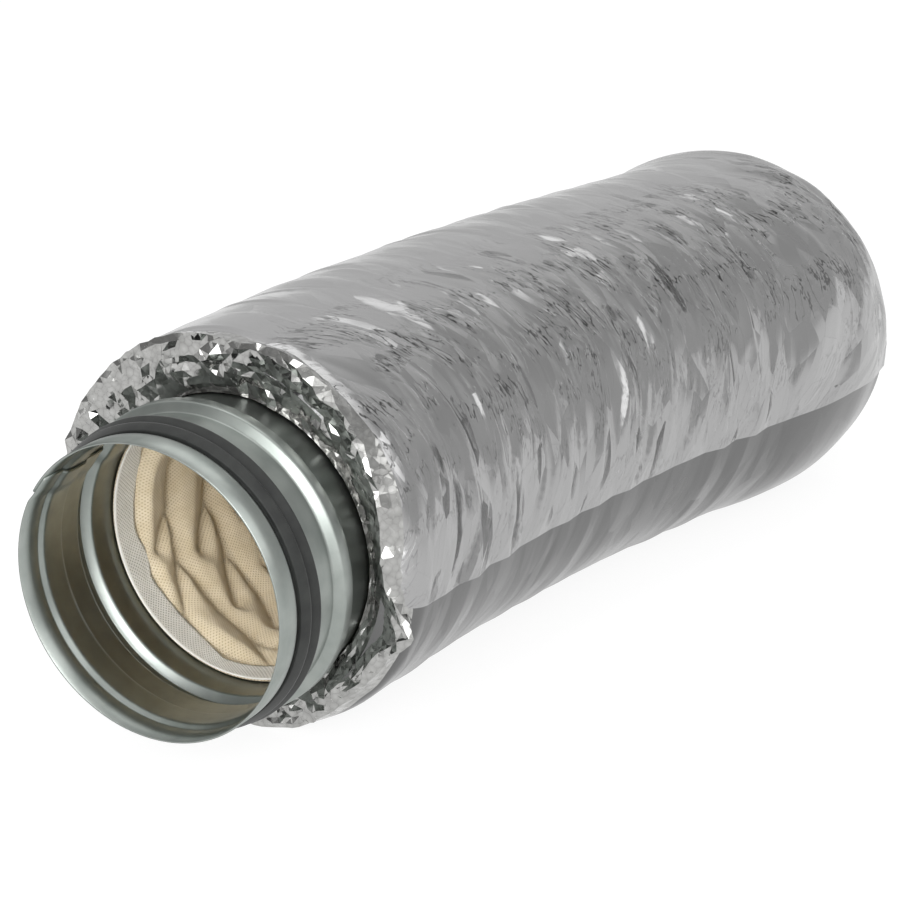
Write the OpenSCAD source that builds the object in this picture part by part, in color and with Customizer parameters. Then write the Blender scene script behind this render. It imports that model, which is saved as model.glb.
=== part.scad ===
// Flexible duct sound attenuator: two rolled steel spigots joined by a fabric
// liner on a wire helix, a mineral wool blanket and a wrinkled foil jacket.
// It lies on the floor in a gentle sideways bend, with its rear end turned back a little,
// as a soft tube comes to rest. Stations run along its centre line, with 0 at the bend's middle.

/* [Duct spigots] */
// Outside diameter of each spigot
spigot_od = 124; // [96:1:160]
// Wall of the rolled spigot sheet
spigot_wall = 0.8; // [0.6:0.1:1.2]
// Whole length of each spigot
spigot_len = 85; // [80:1:100]
// Length of the front spigot that stands out of the jacket
front_reach = 60; // [56:1:66]
// Length of the rear spigot that stands out of the jacket
rear_reach = 56; // [56:1:66]
// Plain lead-in wall in front of the seal groove
lead_in = 11.5; // [8:0.5:14]
// Width of the seal groove
groove_w = 15; // [12:0.5:16]
// Depth of the seal groove
groove_d = 1.8; // [1.2:0.1:2.4]
// Length of each sloping side of the groove
groove_slope = 2.4; // [1.5:0.1:3]
// Distance from the mouth to the stop bead
bead_start = 37.5; // [34:0.5:42]
// Width of the stop bead at its foot
bead_w = 10; // [7:0.5:12]
// Height of the stop bead
bead_h = 4.2; // [2:0.1:6]
// Length of each sloping side of the bead
bead_slope = 2.2; // [1:0.1:3]
// Width of the lap where the rolled sheet meets itself
lap_w = 9; // [5:0.5:14]
// Place of the sheet lap around the mouth, in degrees
lap_turn = 122; // [0:1:360]

/* [Lip seals] */
// Height of the rear seal lip above the spigot
lip_h = 3.4; // [2:0.1:5]
// Height of the front seal lip above the spigot
front_lip_h = 2.4; // [1:0.1:4]
// Thickness of a lip at its tip
lip_tip = 0.7; // [0.4:0.1:1]
// Height of the seal's band above the spigot
seal_band_h = 0.3; // [0.1:0.1:0.8]

/* [Body] */
// Length of the jacket along the centre line
jacket_len = 384; // [330:2:480]
// Share of the jacket in front of the bend's middle
front_share = 0.52; // [0.48:0.01:0.58]
// Radius of the sideways bend
bend_r = 1090; // [900:10:2000]
// How far the rear end turns back against the bend, in degrees
back_turn = 25; // [0:1:28]
// Radius of that turn
back_r = 110; // [105:5:200]
// Straight length between that turn and the rear end
rear_straight = 20; // [20:1:30]
// Thickness of the wool blanket
wool_t = 24; // [18:1:50]
// Thickness of the jacket film
film_t = 0.7; // [0.5:0.1:1.2]
// Width of the flat spot that the body rests on
flat_w = 50; // [30:1:70]
// How far the film is drawn in on the lower side of the bend
drawn_in = 5; // [0:0.5:8]
// Place round the body where it is drawn in most, in degrees
drawn_turn = 240; // [220:1:260]
// Length of the jacket's front shoulder
front_shoulder = 14; // [10:1:30]
// Length of the jacket's rear shoulder
rear_shoulder = 22; // [10:1:40]
// How far the film turns in at the front shoulder
front_turn_in = 9; // [6:0.5:12]
// Share by which that is more on the inside of the bend and less outside it
front_skew = 0.55; // [0:0.05:0.7]
// How far the film turns in at the rear shoulder
rear_turn_in = 10; // [6:0.5:16]

/* [Jacket folds] */
// Number of cross folds pressed up along the inside of the bend
folds = 14; // [8:1:18]
// Height of the tallest cross fold
fold_h = 4.2; // [1:0.1:5]
// How far the folds lean along the duct
fold_lean = 7; // [0:0.5:12]
// Place of the jacket's lap seam around the body, in degrees
seam_turn = 189; // [150:1:240]
// Height of the seam's raised edge
seam_h = 0.9; // [0.4:0.1:1.5]
// Width of the seam's lap, in degrees
seam_span = 24; // [12:1:36]

/* [Liner] */
// Thickness of the liner fabric
fabric_t = 0.8; // [0.6:0.1:1.2]
// Diameter of the liner's spring wire
wire_d = 1.6; // [1:0.1:2.4]
// Distance between turns of the wire
pleat_pitch = 36; // [30:1:44]
// How far the slack fabric sags inwards between turns
pleat_depth = 10; // [4:0.5:13]
// Width of the white cuff at each end of the liner
cuff_w = 18; // [12:1:22]
// How far the cuff's free edge waves
cuff_wave = 2.5; // [0:0.5:4]

/* [End foils] */
// Thickness of the closing foil
foil_t = 0.6; // [0.4:0.1:1]
// Length of foil that laps onto the spigot
foil_lap = 6; // [3:0.5:8]
// Height of the crumples in the closing foil
crumple_h = 1.8; // [0.5:0.1:2.2]

/* [Clearances] */
// Seat gap between the seal and its groove
seal_gap = 0.1; // [0.05:0.05:0.2]
// Gap between layers of the body
layer_gap = 0.15; // [0.1:0.05:0.3]

/* [Hidden] */
round_fn = 96;
around = 20;          // columns of the liner, its cuffs and its wire
foil_around = 26;     // columns of an end foil
skin_step = 13;       // widest angle between columns of the jacket and the wool
rows_per_pleat = 4;
core_skip = 4;        // fold rows between rows of the jacket's inside, along the bend
shoulder_steps = [0, 0.06, 0.25, 0.6];

spigot_r = spigot_od / 2;
front_tail = spigot_len - front_reach;
rear_tail = spigot_len - rear_reach;
front_len = jacket_len * front_share;
rear_len = jacket_len - front_len;
front_mouth = -front_len - front_reach;
rear_mouth = rear_len + rear_reach;
back_len = back_r * back_turn * PI / 180;
straight_from = rear_len - rear_straight;
bend_to = straight_from - back_len;
rear_over = max(rear_tail - rear_straight, 0);
tail_drift = max(front_tail * front_tail / (2 * bend_r), rear_over * rear_over / (2 * back_r));

fold_rows = 2 * folds;
fold_from = front_shoulder;
fold_to = jacket_len - rear_shoulder;
fold_step = (fold_to - fold_from) / fold_rows;
core_sag = pow(core_skip * fold_step, 2) / (8 * bend_r);
clear_r = spigot_r + layer_gap + tail_drift;
wool_bore_r = corner_r(clear_r + core_sag, 360 / skin_step);
skin_r = wool_bore_r + wool_t + layer_gap + film_t;
low_r = skin_r - drawn(270);
axis_h = sqrt(low_r * low_r - flat_w * flat_w / 4);
front_rim = spigot_r * sin(turn_at(front_mouth));
rear_rim = spigot_r * sin(turn_at(rear_mouth));
mid_x = (rear_rim - front_rim - line_x(front_mouth) - line_x(rear_mouth)) / 2;
side_turn = turn_at(front_shoulder - front_len);
side_in = (skin_r - drawn(180)) * cos(side_turn);
mid_y = (bend_r * (1 - cos(side_turn)) + side_in - skin_r + drawn(0)) / 2;

liner_end_r = spigot_r - spigot_wall - layer_gap - tail_drift;
wire_r = clear_r - layer_gap - wire_d / 2;
liner_mid_r = wire_r - wire_d / 2 - layer_gap;
liner_hem = cuff_w + cuff_wave + fabric_t;
wire_from = -front_len + front_tail + wire_d;
// Stations inside the turn that the straight rear tail reaches on its inner side
rear_tail_span = back_r * atan(rear_over / (back_r - spigot_r)) * PI / 180;
wire_to = min(straight_from - rear_tail_span, rear_len - rear_tail) - wire_d;

// Radius at which the corners of a polygon keep its sides outside a circle
function corner_r(r, sides) = r / cos(180 / sides);
// Centre line: one arc, a short turn back at the rear, and straight spigots at the ends
function bend_part(s) = min(max(s, -front_len), bend_to);
function back_part(s) = min(max(s - bend_to, 0), back_len);
function straight_part(s) = s - bend_part(s) - back_part(s);
function bend_turn(s) = bend_part(s) / bend_r * 180 / PI;
function turn_at(s) = bend_turn(s) - back_part(s) / back_r * 180 / PI;
function line_x(s) = (bend_r + back_r) * sin(bend_turn(s)) - back_r * sin(turn_at(s))
    + straight_part(s) * cos(turn_at(s));
function line_y(s) = (bend_r + back_r) * cos(bend_turn(s)) - bend_r - back_r * cos(turn_at(s))
    - straight_part(s) * sin(turn_at(s));
function axis_x(s) = mid_x + line_x(s);
function axis_y(s) = mid_y + line_y(s);
// Point at station s, radius r and angle t, from 0 outside the bend to 90 on top
function at(s, r, t) = [
    axis_x(s) + r * cos(t) * sin(turn_at(s)),
    axis_y(s) + r * cos(t) * cos(turn_at(s)),
    axis_h + r * sin(t)
];
// Keeps a point on or above a floor
function rested(p, floor_z) = [p[0], p[1], max(p[2], floor_z)];
function unit(x) = min(max(x, 0), 1);
function ease(x) = unit(x) * unit(x) * (3 - 2 * unit(x));
// A value between -1 and 1 that looks irregular along k
function jig(k) = sin(137.5 * k + 40 * sin(71 * k));

// Puts +Z of its child along the duct at station s
module station(s) {
    translate([axis_x(s), axis_y(s), axis_h])
        rotate([0, 0, -turn_at(s)])
            rotate([0, 90, 0]) children();
}

module at_front() {
    station(front_mouth) children();
}

module at_rear() {
    station(rear_mouth) rotate([180, 0, 0]) children();
}

// Side faces between rows of n points, counted from point number "first"
function row_faces(n, rows, first, flip) = [
    for (i = [0 : rows - 2], j = [0 : n - 1], half = [0, 1])
        let (
            a = first + i * n + j,
            b = first + i * n + (j + 1) % n,
            c = a + n,
            d = b + n,
            f = half == 0 ? [a, d, b] : [a, c, d]
        )
        flip ? [f[2], f[1], f[0]] : f
];
// Faces that join the first or last row of an outer skin to those of an inner skin
function rim_faces(n, outer, inner, flip) = [
    for (j = [0 : n - 1], half = [0, 1])
        let (
            k = (j + 1) % n,
            f = half == 0 ? [outer + j, inner + j, inner + k] : [outer + j, inner + k, outer + k]
        )
        flip ? [f[2], f[1], f[0]] : f
];

// Sheet wall between an outer and an inner grid of points, closed at both rims
module sheet_wall(n, outer, inner) {
    under = len(outer);
    last_in = under + len(inner) - n;
    polyhedron(
        points = concat(outer, inner),
        faces = concat(
            row_faces(n, len(outer) / n, 0, false),
            row_faces(n, len(inner) / n, under, true),
            rim_faces(n, 0, under, true),
            rim_faces(n, under - n, last_in, false)
        )
    );
}

// Spigot sheet line from the mouth inwards, moved towards the axis by "inset"
function spigot_line(inset, to) = [
    [spigot_r - inset, 0],
    [spigot_r - inset, lead_in],
    [spigot_r - groove_d - inset, lead_in + groove_slope],
    [spigot_r - groove_d - inset, lead_in + groove_w - groove_slope],
    [spigot_r - inset, lead_in + groove_w],
    [spigot_r - inset, bead_start],
    [spigot_r + bead_h - inset, bead_start + bead_slope],
    [spigot_r + bead_h - inset, bead_start + bead_w - bead_slope],
    [spigot_r - inset, bead_start + bead_w],
    [spigot_r - inset, to]
];
function reversed(list) = [for (i = [len(list) - 1 : -1 : 0]) list[i]];
function sheet_section(outside, inside, to) =
    concat(spigot_line(outside, to), reversed(spigot_line(inside, to)));

// Rolled galvanised tube with a seal groove, a stop bead and an inside lap
module spigot(reach) {
    rotate_extrude($fn = round_fn)
        polygon(sheet_section(0, spigot_wall, spigot_len));
    lap_angle = lap_w / spigot_r * 180 / PI;
    rotate([0, 0, lap_turn])
        rotate_extrude(angle = lap_angle, $fn = round_fn)
            polygon(sheet_section(spigot_wall / 2, 1.5 * spigot_wall, reach - layer_gap));
}

// Rubber band in the groove, with two lips that lean away from the mouth
module seal() {
    foot_r = spigot_r - groove_d + seal_gap;
    band_r = spigot_r + seal_band_h;
    z0 = lead_in + groove_slope + seal_gap;
    w = groove_w - 2 * groove_slope - 2 * seal_gap;
    rotate_extrude($fn = round_fn)
        polygon([
            [foot_r, z0],
            [band_r, z0],
            [spigot_r + front_lip_h, z0 + 0.4 * w - lip_tip],
            [spigot_r + front_lip_h, z0 + 0.4 * w],
            [band_r, z0 + 0.3 * w],
            [band_r, z0 + 0.48 * w],
            [spigot_r + lip_h, z0 + 0.92 * w - lip_tip],
            [spigot_r + lip_h, z0 + 0.92 * w],
            [band_r, z0 + 0.78 * w],
            [band_r, z0 + w],
            [foot_r, z0 + w]
        ]);
}

// Station at distance e inside the front (-1) or the rear (1) end of the jacket
function inside(e, end) = end < 0 ? e - front_len : rear_len - e;
// Rows of a piece at one end, put in the order in which stations rise
function from_front(rows, end) = end < 0 ? rows : reversed(rows);

// White nonwoven strip glued over the liner's end, with a wavy free edge
module cuff(end) {
    out_r = liner_end_r - fabric_t - layer_gap;
    edges = from_front([
        [for (j = [0 : around - 1]) 0],
        [for (j = [0 : around - 1]) cuff_w / 2],
        [for (j = [0 : around - 1]) cuff_w + cuff_wave * jig(j)]
    ], end);
    function skin(r) = [
        for (row = edges, j = [0 : around - 1])
            at(inside(row[j], end), r, 360 * j / around)
    ];
    sheet_wall(around, skin(out_r), skin(out_r - fabric_t));
}

// Radius of the slack liner: it hangs in folds between the turns of wire
function liner_r(s, t) =
    let (
        room = min(s + front_len, rear_len - s) - liner_hem,
        swell = ease(room / pleat_pitch * 2),
        waist = ease(room / pleat_pitch * 4),
        along = (s - wire_from) / pleat_pitch,
        turns = along - t / 360,
        slack = 0.8 + 0.2 * sin(2 * t + 50 * along) * cos(95 * along),
        crossing = 0.18 * pow(sin(3 * t + 160 * along), 2)
    )
    liner_end_r + (liner_mid_r - liner_end_r) * waist
        - pleat_depth * swell * abs(sin(180 * turns)) * (slack - crossing);

module inner_liner() {
    slack_len = jacket_len - 2 * liner_hem;
    rows = 2 + ceil(slack_len / pleat_pitch * rows_per_pleat);
    stations = concat(
        [inside(fabric_t, -1)],
        [for (i = [0 : rows]) inside(liner_hem + slack_len * i / rows, -1)],
        [inside(fabric_t, 1)]
    );
    function skin(inset) = [
        for (s = stations, j = [0 : around - 1])
            let (t = 360 * j / around)
            at(s, liner_r(s, t) - inset, t)
    ];
    color("wheat") sheet_wall(around, skin(0), skin(fabric_t));
}

// Spring wire wound round the liner between the two spigot tails
module liner_wire() {
    turns = (wire_to - wire_from) / pleat_pitch;
    steps = floor(turns * around);
    sides = 4;
    function ring(i) =
        let (t = 360 * i / around, s = wire_from + pleat_pitch * i / around)
        [
            for (k = [0 : sides - 1])
                at(s + wire_d / 2 * sin(90 * k), wire_r + wire_d / 2 * cos(90 * k), t)
        ];
    last = steps * sides;
    color("dimgray")
        polyhedron(
            points = [for (i = [0 : steps], p = ring(i)) p],
            faces = concat(
                row_faces(sides, steps + 1, 0, true),
                [[3, 2, 1, 0], [last, last + 1, last + 2, last + 3]]
            )
        );
}

// How far the film is drawn in at angle t
function drawn(t) = drawn_in * (0.5 + 0.5 * cos(t - drawn_turn));
// How far the film has turned in at distance e from an end
function turned_in(e, shoulder, turn_in) =
    let (lean = 1 - unit(e / shoulder))
    turn_in * (1 - sqrt(1 - lean * lean));
// Radius of the jacket's plain outside at distance e from its front end
function plain_r(e, t) = skin_r - drawn(t) - (
    e < front_len
        ? turned_in(e, front_shoulder, front_turn_in * (1 - front_skew * cos(t)))
        : turned_in(jacket_len - e, rear_shoulder, rear_turn_in)
);
// Point of the jacket, moved in from its plain outside by "inset" and kept above the floor
function skin_point(e, t, inset) = rested(at(e - front_len, plain_r(e, t) - inset, t), inset);

// Distances from the jacket's front end to its rows: every fold row, or those that its
// inside needs, which are further apart along the bend than round the turn at the rear
function fold_row_e(i) = fold_from + fold_step * i;
function shoulder_rows(end) = from_front(
    [for (k = shoulder_steps) end < 0 ? k * front_shoulder : jacket_len - k * rear_shoulder], end
);
back_row = floor((bend_to + front_len - fold_from) / fold_step);
core_rows = [
    for (i = [0 : fold_rows])
        if (i % core_skip == 0 || i >= back_row) fold_row_e(i)
];
inside_rows = concat(shoulder_rows(-1), core_rows, shoulder_rows(1));
seam_edge = 0.5;      // degrees from the foot to the crest of the seam's edge
flat_turn = asin(flat_w / 2 / skin_r);
skin_keys = [seam_turn + seam_edge, 270 - flat_turn, 270 + flat_turn, seam_turn + 360];
// Columns of the jacket, with one at each edge of the seam and of the flat spot
skin_turns = concat(
    [
        for (k = [0 : len(skin_keys) - 2])
            let (span = skin_keys[k + 1] - skin_keys[k], count = ceil(span / skin_step))
            for (i = [0 : count - 1]) skin_keys[k] + span * i / count
    ],
    [seam_turn + 360]
);

// Height of the cross folds: every other row stands up along the inside of the bend
function fold_at(row, t) =
    let (
        reach = 0.5 - 0.5 * cos(t - 40 * jig(row)),
        tall = 0.55 + 0.45 * jig(row + 0.4)
    )
    row % 2 == 1 ? fold_h * tall * pow(reach, 2) : 0;

// Height of the lap seam, which rises at its edge and runs out upwards
function seam_at(t) =
    let (above = seam_turn + 360 - t)
    above > seam_span ? 0 : seam_h * (1 - above / seam_span);

// Mineral wool rolled round the liner and the spigot tails
module wool_blanket() {
    bore_rows = concat([0], core_rows, [jacket_len]);
    color("khaki")
        sheet_wall(
            len(skin_turns),
            [for (e = inside_rows, t = skin_turns) skin_point(e, t, film_t + layer_gap)],
            [for (e = bore_rows, t = skin_turns) at(e - front_len, wool_bore_r, t)]
        );
}

// Aluminium laminate sleeve, wrinkled inside the bend, with a lap seam along it
module foil_jacket() {
    function fold_point(i, t) =
        let (
            e = fold_row_e(i),
            inner = ease(min(e - fold_from, fold_to - e) / (2 * fold_lean + 1)),
            s = e - front_len + inner * fold_lean * sin(t)
        )
        rested(at(s, plain_r(e, t) + inner * (fold_at(i, t) + seam_at(t)), t), 0);
    color("darkgray")
        sheet_wall(
            len(skin_turns),
            concat(
                [for (e = shoulder_rows(-1), t = skin_turns) skin_point(e, t, 0)],
                [for (i = [0 : fold_rows], t = skin_turns) fold_point(i, t)],
                [for (e = shoulder_rows(1), t = skin_turns) skin_point(e, t, 0)]
            ),
            [for (e = inside_rows, t = skin_turns) skin_point(e, t, film_t)]
        );
}

// Crumpled foil that closes the jacket's end and laps onto the spigot
module end_foil(end) {
    rim_e = 0.08 * (end < 0 ? front_shoulder : rear_shoulder);
    in_r = corner_r(spigot_r + layer_gap, foil_around);
    function rim_r(t) =
        corner_r(plain_r(end < 0 ? rim_e : jacket_len - rim_e, t) + layer_gap, foil_around);
    // Rings of the foil's back face: share of the way from spigot to rim, distance from the
    // jacket's end, share of the crumple, and the way to the front face, outwards and forwards
    rings = [
        [0, -foil_lap, 0.6, 1, 0],
        [0, -layer_gap, 0.5, 1, 1],
        [0.5, -layer_gap, 1, 0, 1],
        [0.8, -layer_gap, 0.7, 0, 1],
        [1, -layer_gap, 0.3, 1, 1],
        [1, rim_e, 0, 1, 0]
    ];
    function skin(thick) = [
        for (k = from_front([for (i = [0 : len(rings) - 1]) i], end), j = [0 : foil_around - 1])
            let (
                g = rings[k],
                t = 360 * j / foil_around,
                lift = crumple_h * g[2] * (0.5 + 0.5 * jig(j * 1.7 + k * 5)),
                r = in_r + (rim_r(t) - in_r) * g[0]
            )
            rested(
                at(inside(g[1] - lift - thick * g[4], end), r + thick * g[3], t),
                foil_t - thick
            )
    ];
    color("gainsboro") sheet_wall(foil_around, skin(foil_t), skin(0));
}

color("silver") at_front() spigot(front_reach);  // front_spigot
color("#3c3d3b") at_front() seal();  // front_seal
color("white") cuff(-1);  // front_liner_cuff
end_foil(-1);  // front_end_foil
inner_liner();
liner_wire();
wool_blanket();
foil_jacket();
end_foil(1);  // rear_end_foil
color("white") cuff(1);  // rear_liner_cuff
color("#3c3d3b") at_rear() seal();  // rear_seal
color("silver") at_rear() spigot(rear_reach);  // rear_spigot
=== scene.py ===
# Flexible duct sound attenuator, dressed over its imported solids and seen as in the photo.
from math import atan2, cos, degrees, exp, pi, radians, sin, sqrt

import bmesh
import bpy
from mathutils import Matrix, Vector, noise


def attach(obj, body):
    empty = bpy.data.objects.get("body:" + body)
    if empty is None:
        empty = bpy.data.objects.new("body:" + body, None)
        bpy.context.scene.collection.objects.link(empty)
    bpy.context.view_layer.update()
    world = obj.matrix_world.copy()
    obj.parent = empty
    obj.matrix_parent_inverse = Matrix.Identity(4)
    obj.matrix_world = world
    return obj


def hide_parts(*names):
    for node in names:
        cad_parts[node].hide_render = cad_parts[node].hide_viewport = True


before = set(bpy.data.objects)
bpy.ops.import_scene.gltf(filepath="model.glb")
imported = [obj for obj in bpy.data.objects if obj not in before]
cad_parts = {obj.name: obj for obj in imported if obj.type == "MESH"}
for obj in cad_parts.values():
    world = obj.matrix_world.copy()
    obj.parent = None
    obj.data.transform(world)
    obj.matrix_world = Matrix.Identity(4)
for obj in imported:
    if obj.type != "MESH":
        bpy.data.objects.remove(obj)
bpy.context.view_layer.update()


# Rolled spigots: a tube of galvanised sheet at each end, its edges lapped and spot welded.
# Rollers press in the groove for the seal and the bead that a duct is pushed up to.
MM = 0.001
ENDS = ((-1, "front"), (1, "rear"))
SPIGOT_R = 62 * MM
SPIGOT_LEN = 85 * MM
SHEET_T = 0.8 * MM
GROOVE_R = SPIGOT_R - 1.8 * MM
BEAD_R = SPIGOT_R + 4.2 * MM
# The rolled outline: radius, and distance from the mouth.
SPIGOT_LINE = [
    (SPIGOT_R, 0), (SPIGOT_R, 11.5 * MM), (GROOVE_R, 13.9 * MM), (GROOVE_R, 24.1 * MM),
    (SPIGOT_R, 26.5 * MM), (SPIGOT_R, 37.5 * MM), (BEAD_R, 39.7 * MM), (BEAD_R, 45.3 * MM),
    (SPIGOT_R, 47.5 * MM), (SPIGOT_R, SPIGOT_LEN),
]
FOLD_RADIUS = 0.7 * MM
FOLD_SEGMENTS = 3
SPIGOT_STEPS = 176
# The lap of the sheet's edges: where it starts, how far it runs, and how it steps inwards.
LAP_FROM = radians(122)
LAP_ANGLE = radians(8.3)
LAP_RISE = radians(6)
LAP_STEPS = 10
LAP_INSET = 1.2 * SHEET_T
# The duct's middle line: a wide bend, then a tight one the other way, then a straight end.
FRONT_LEN = 199.68 * MM
REAR_LEN = 184.32 * MM
BODY_LEN = FRONT_LEN + REAR_LEN
MOUTH = {-1: -FRONT_LEN - 60 * MM, 1: REAR_LEN + 56 * MM}
BEND_R = 1090 * MM
BACK_R = 110 * MM
BACK_LEN = BACK_R * radians(25)
REAR_STRAIGHT = 20 * MM
BEND_TO = REAR_LEN - REAR_STRAIGHT - BACK_LEN
MIDDLE = (6.727 * MM, 6.028 * MM, 79.557 * MM)


def on_duct(s, r, t):
    """The point at station s along the bent duct; t is 0 outside the bend and a quarter turn on top."""
    bent = max(-FRONT_LEN, min(BEND_TO, s))
    back = max(0.0, min(BACK_LEN, s - BEND_TO))
    past = s - bent - back
    bend = bent / BEND_R
    turn = bend - back / BACK_R
    reach = r * cos(t)
    x = (BEND_R + BACK_R) * sin(bend) - BACK_R * sin(turn) + past * cos(turn) + reach * sin(turn)
    y = (BEND_R + BACK_R) * cos(bend) - BEND_R - BACK_R * cos(turn) - past * sin(turn) + reach * cos(turn)
    return Vector((x, y, r * sin(t))) + Vector(MIDDLE)


def inside(e, end):
    """The station at a distance e inside the front (-1) or the rear (1) end of the jacket."""
    return e - FRONT_LEN if end < 0 else REAR_LEN - e


def linear(code):
    """An sRGB hex colour as linear RGBA."""
    parts = [int(code[i:i + 2], 16) / 255 for i in (1, 3, 5)]
    return [c / 12.92 if c <= 0.04045 else ((c + 0.055) / 1.055) ** 2.4 for c in parts] + [1.0]


def add(tree, kind, inputs, **settings):
    """A new node, with its settings and with values or links on its inputs."""
    node = tree.nodes.new(kind)
    for name, value in settings.items():
        setattr(node, name, value)
    for name, value in inputs.items():
        if isinstance(value, bpy.types.NodeSocket):
            tree.links.new(value, node.inputs[name])
        else:
            node.inputs[name].default_value = value
    return node


def start_material(name, sockets):
    """A material with one shader, and the values that are the same all over it."""
    material = bpy.data.materials.new(name)
    material.use_nodes = True
    shader = material.node_tree.nodes["Principled BSDF"]
    for socket, value in sockets.items():
        shader.inputs[socket].default_value = value
    return material, material.node_tree, shader


def set_ramp(ramp, stops):
    """Puts colours, or greys, at places along a colour ramp."""
    while len(ramp.elements) < len(stops):
        ramp.elements.new(0.5)
    for element, (place, colour) in zip(ramp.elements, stops):
        element.position = place
        element.color = linear(colour) if isinstance(colour, str) else [colour] * 3 + [1.0]


def face_outwards(bm, middle):
    """Turns every face of a sheet away from the line or point that middle gives."""
    bmesh.ops.recalc_face_normals(bm, faces=bm.faces)
    lean = sum(f.normal.dot(f.calc_center_median() - middle(f.calc_center_median())) for f in bm.faces)
    if lean < 0:
        bmesh.ops.reverse_faces(bm, faces=bm.faces)


def unroll_uv(bm, place):
    """A UV map from each point's place round and along a turned piece, in turns and metres."""
    layer = bm.loops.layers.uv.verify()
    for face in bm.faces:
        turns = [place(loop.vert)[0] for loop in face.loops]
        wraps = max(turns) - min(turns) > 0.5
        for loop, turn in zip(face.loops, turns):
            loop[layer].uv = (turn + 1 if wraps and turn < 0.5 else turn, place(loop.vert)[1])


def join_scene(obj, node):
    """Puts an object in the scene, where it rides on the part and stands for its CAD node."""
    bpy.context.scene.collection.objects.link(obj)
    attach(obj, "root")
    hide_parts(node)


def make_piece(name, bm, material, node):
    """Writes a mesh, dresses it, and puts it in the scene."""
    mesh = bpy.data.meshes.new(name)
    bm.to_mesh(mesh)
    bm.free()
    mesh.shade_smooth()
    mesh.materials.append(material)
    obj = bpy.data.objects.new(name, mesh)
    join_scene(obj, node)
    return obj


def give_thickness(obj, name, thickness):
    """Thickens a sheet inwards from the face that was modelled."""
    wall = obj.modifiers.new(name, "SOLIDIFY")
    wall.thickness = thickness
    wall.offset = -1


def seat_at_mouth(bm, end):
    """Moves a piece turned about Z, with its mouth at zero, to the front (-1) or rear (1) mouth."""
    step_in = 10 * MM
    mouth = on_duct(MOUTH[end], 0, 0)
    inward = (on_duct(MOUTH[end] - end * step_in, 0, 0) - mouth).normalized()
    down = Vector((0, 0, -1))
    turn = Matrix((down, inward.cross(down), inward)).transposed().to_4x4()
    bmesh.ops.transform(bm, matrix=Matrix.Translation(mouth) @ turn, verts=bm.verts)


def ease(x):
    """A smooth step from 0 to 1."""
    x = max(0.0, min(1.0, x))
    return x * x * (3 - 2 * x)


def lathe_line(bm, line, radius):
    """Joins points in a half plane, with their corners rounded, for turning about Z."""
    points = [bm.verts.new((r, 0, z)) for r, z in line]
    for a, b in zip(points, points[1:]):
        bm.edges.new((a, b))
    bmesh.ops.bevel(
        bm, geom=points[1:-1], offset=radius, affect="VERTICES",
        segments=FOLD_SEGMENTS, profile=0.5, material=-1,
    )
    return bm.verts[:] + bm.edges[:]


# Galvanised sheet: a grey zinc skin, semi-bright, with fine lines round the tube from rolling.
# The lines are about 1.4 mm apart and a quarter turn long, and the skin clouds in 11 mm patches.
ROLL_LINES = (4, 700, 1)
ZINC_CLOUD = 90.0
zinc, tree, shader = start_material("galvanised_sheet", {"Metallic": 1.0})
coords = add(tree, "ShaderNodeUVMap", {})
lines = add(tree, "ShaderNodeMapping", {"Vector": coords.outputs[0], "Scale": ROLL_LINES})
rolled = add(tree, "ShaderNodeTexNoise", {"Vector": lines.outputs[0], "Scale": 1.0, "Detail": 3.0})
cloud = add(tree, "ShaderNodeTexNoise", {
    "Vector": add(tree, "ShaderNodeTexCoord", {}).outputs["Object"], "Scale": ZINC_CLOUD, "Detail": 4.0})
tone = add(tree, "ShaderNodeValToRGB", {"Fac": cloud.outputs["Fac"]})
set_ramp(tone.color_ramp, [(0.3, "#909692"), (0.7, "#a0a5a1")])
gloss = add(tree, "ShaderNodeMapRange", {
    "Value": rolled.outputs["Fac"], "From Min": 0.3, "From Max": 0.7, "To Min": 0.33, "To Max": 0.4})
grain = add(tree, "ShaderNodeBump", {
    "Height": rolled.outputs["Fac"], "Strength": 0.03, "Distance": 0.4 * MM})
tree.links.new(tone.outputs[0], shader.inputs["Base Color"])
tree.links.new(gloss.outputs[0], shader.inputs["Roughness"])
tree.links.new(grain.outputs[0], shader.inputs["Normal"])

for end, side in ENDS:
    bm = bmesh.new()
    geom = lathe_line(bm, SPIGOT_LINE, FOLD_RADIUS)
    bmesh.ops.rotate(bm, verts=bm.verts, cent=(0, 0, 0), matrix=Matrix.Rotation(LAP_FROM, 3, "Z"))
    tube = bmesh.ops.spin(
        bm, geom=geom, cent=(0, 0, 0), axis=(0, 0, 1), angle=2 * pi - LAP_RISE, steps=SPIGOT_STEPS)
    plain = set(bm.verts)
    bmesh.ops.spin(
        bm, geom=tube["geom_last"], cent=(0, 0, 0), axis=(0, 0, 1),
        angle=LAP_RISE + LAP_ANGLE, steps=LAP_STEPS)
    for v in set(bm.verts) - plain:
        turned = (atan2(v.co.y, v.co.x) - LAP_FROM + LAP_RISE) % (2 * pi)
        r = v.co.xy.length
        v.co.xy *= (r - LAP_INSET * ease(turned / LAP_RISE)) / r
    face_outwards(bm, lambda p: Vector((0, 0, p.z)))
    unroll_uv(bm, lambda v: (atan2(v.co.y, v.co.x) / (2 * pi) % 1, v.co.z))
    seat_at_mouth(bm, end)
    spigot = make_piece(side + "_rolled_spigot", bm, zinc, side + "_spigot")
    give_thickness(spigot, "sheet", SHEET_T)


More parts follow.
